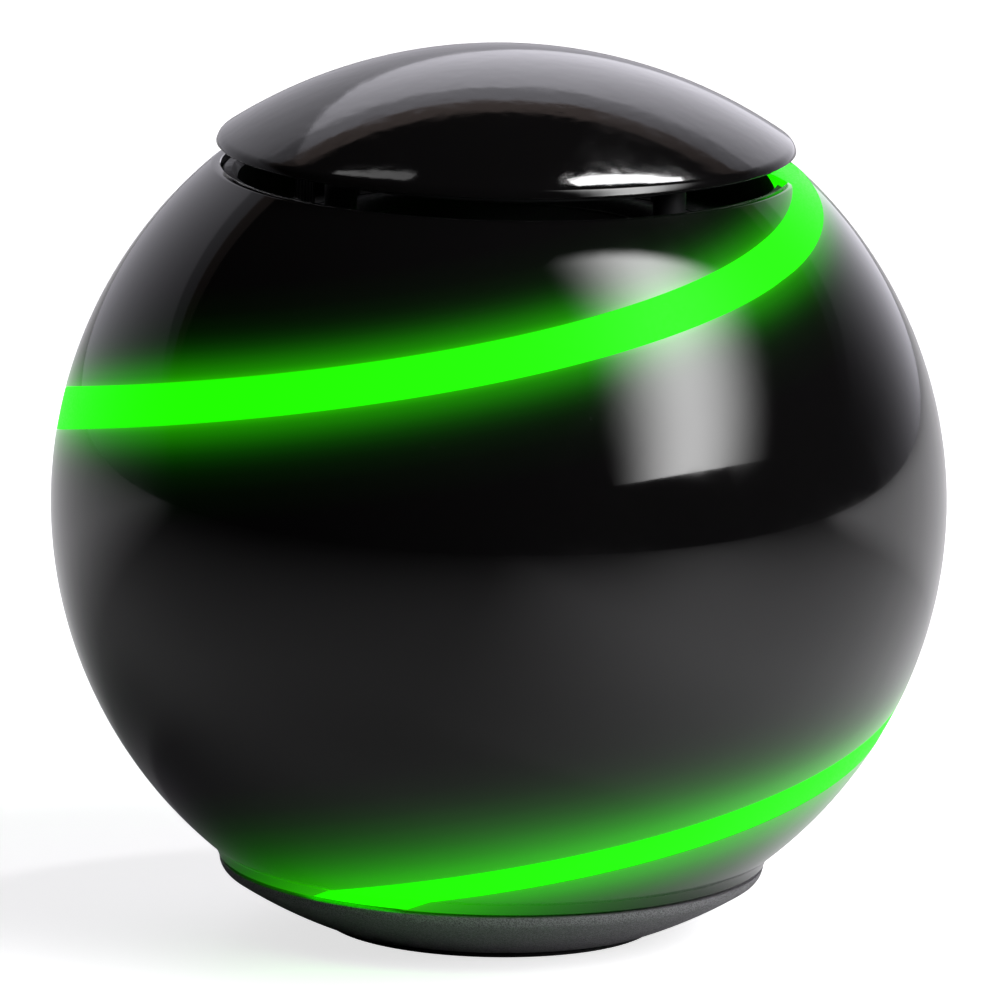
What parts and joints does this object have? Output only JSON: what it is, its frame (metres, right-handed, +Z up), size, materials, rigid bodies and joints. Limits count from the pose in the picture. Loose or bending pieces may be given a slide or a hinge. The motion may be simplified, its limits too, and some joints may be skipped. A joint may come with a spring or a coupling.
{
  "type": "smart speaker",
  "caption": "Ball-shaped smart speaker: glossy shell that turns on a small base, spiral light band, push cap on top, sound slot under the cap.",
  "frame": {"origin": "on the table, under the centre of the ball", "axes": "+Z up along the axis the ball turns on; -Y is the front; the power socket is at the rear, +Y"},
  "size_m": [0.1, 0.1, 0.0991],
  "materials": {
    "rubber_black": "soft rubber",
    "matte_black": "fine spark-eroded texture, matte black",
    "zinc_steel": "zinc plated",
    "board_green": "fibreglass board with green solder mask",
    "tin_plate": "tinned sheet",
    "chip_black": "moulded epoxy packages",
    "inner_black": "plain moulded, satin",
    "ballast_steel": "blanked steel, lightly oiled",
    "bearing_steel": "hardened, ground",
    "motor_steel": "drawn can",
    "gold_contact": "gold-plated contacts",
    "plated_steel": "black phosphated steel",
    "ferrite": "sintered ferrite",
    "ribbon": "black ribbon",
    "gloss_black": "piano black moulded ABS, high gloss",
    "lens_green": "diffusing acrylic lens lit green from behind",
    "white_plastic": "white diffuse reflector plastic",
    "led_white": "white packages with a clear window",
    "acetal": "natural acetal",
    "brass": "turned brass",
    "paper_cone": "coated paper pulp",
    "copper_coil": "enamelled copper winding",
    "spider_cloth": "resin-set cotton"
  },
  "bodies": {
    "base": {"ballast": "ballast_steel", "ballast_screws": "zinc_steel", "base_bowl": "matte_black", "base_screws": "zinc_steel", "board_chips": "chip_black", "brush_block": "inner_black", "brush_pins": "gold_contact", "chamber_gasket": "rubber_black", "chamber_lower": "inner_black", "chamber_screws": "zinc_steel", "chamber_upper": "inner_black", "chassis": "inner_black", "column_screws": "zinc_steel", "diffuser": "inner_black", "diffuser_screws": "zinc_steel", "drive_motor": "motor_steel", "driver_frame": "plated_steel", "driver_magnet": "ferrite", "driver_screws": "zinc_steel", "driver_top_plate": "plated_steel", "driver_yoke": "plated_steel", "flat_cable": "ribbon", "foot_pad": "rubber_black", "guide_ring": "inner_black", "lower_race": "bearing_steel", "main_board": "board_green", "microphones": "tin_plate", "motor_screws": "zinc_steel", "return_springs": "bearing_steel", "shield_can": "tin_plate", "shoulder_screws": "zinc_steel", "switch_dome": "rubber_black", "top_board": "board_green", "top_board_screws": "zinc_steel", "usb_port": "tin_plate"},
    "shell": {"band_leds": "led_white", "led_strip": "board_green", "light_band": "lens_green", "reflector_channel": "white_plastic", "ring_gear": "acetal", "ring_gear_screws": "zinc_steel", "shell_lower": "gloss_black", "shell_upper": "gloss_black", "slip_ring": "board_green", "slip_tracks": "gold_contact", "upper_race": "bearing_steel"},
    "cage": {"ball_cage": "acetal", "bearing_balls": "bearing_steel"},
    "pinion": {"motor_shaft": "bearing_steel", "pinion": "brass"},
    "cap": {"cap_carrier": "inner_black", "cap_dome": "gloss_black", "cap_screws": "zinc_steel"},
    "cone": {"driver_cone": "paper_cone", "dust_cap": "paper_cone", "spider": "spider_cloth", "surround": "rubber_black", "voice_coil": "copper_coil"}
  },
  "joints": [
    {"name": "shell_spin", "type": "hinge", "parent": "base", "child": "shell", "pos_m": [0, 0, 0.048], "axis": [0, 0, 1], "continuous": true},
    {"name": "cage_spin", "type": "hinge", "parent": "base", "child": "cage", "pos_m": [0, 0, 0.0077], "axis": [0, 0, 1], "continuous": true},
    {"name": "pinion_spin", "type": "hinge", "parent": "base", "child": "pinion", "pos_m": [0.0192, 0, 0.0128], "axis": [0, 0, 1], "continuous": true},
    {"name": "cap_press", "type": "slide", "parent": "base", "child": "cap", "axis": [0, 0, -1], "range_m": [0, 0.001], "stiffness_N_per_m": 1500, "springref_m": -0.0006, "deforming": ["return_springs", "switch_dome"]},
    {"name": "cone_travel", "type": "slide", "parent": "base", "child": "cone", "axis": [0, 0, 1], "range_m": [-0.001, 0.001], "stiffness_N_per_m": 900, "deforming": ["surround", "spider"]}
  ],
  "couplings": [
    {"joint": "cage_spin", "follows": "shell_spin", "ratio": 0.5},
    {"joint": "pinion_spin", "follows": "shell_spin", "ratio": 5}
  ]
}
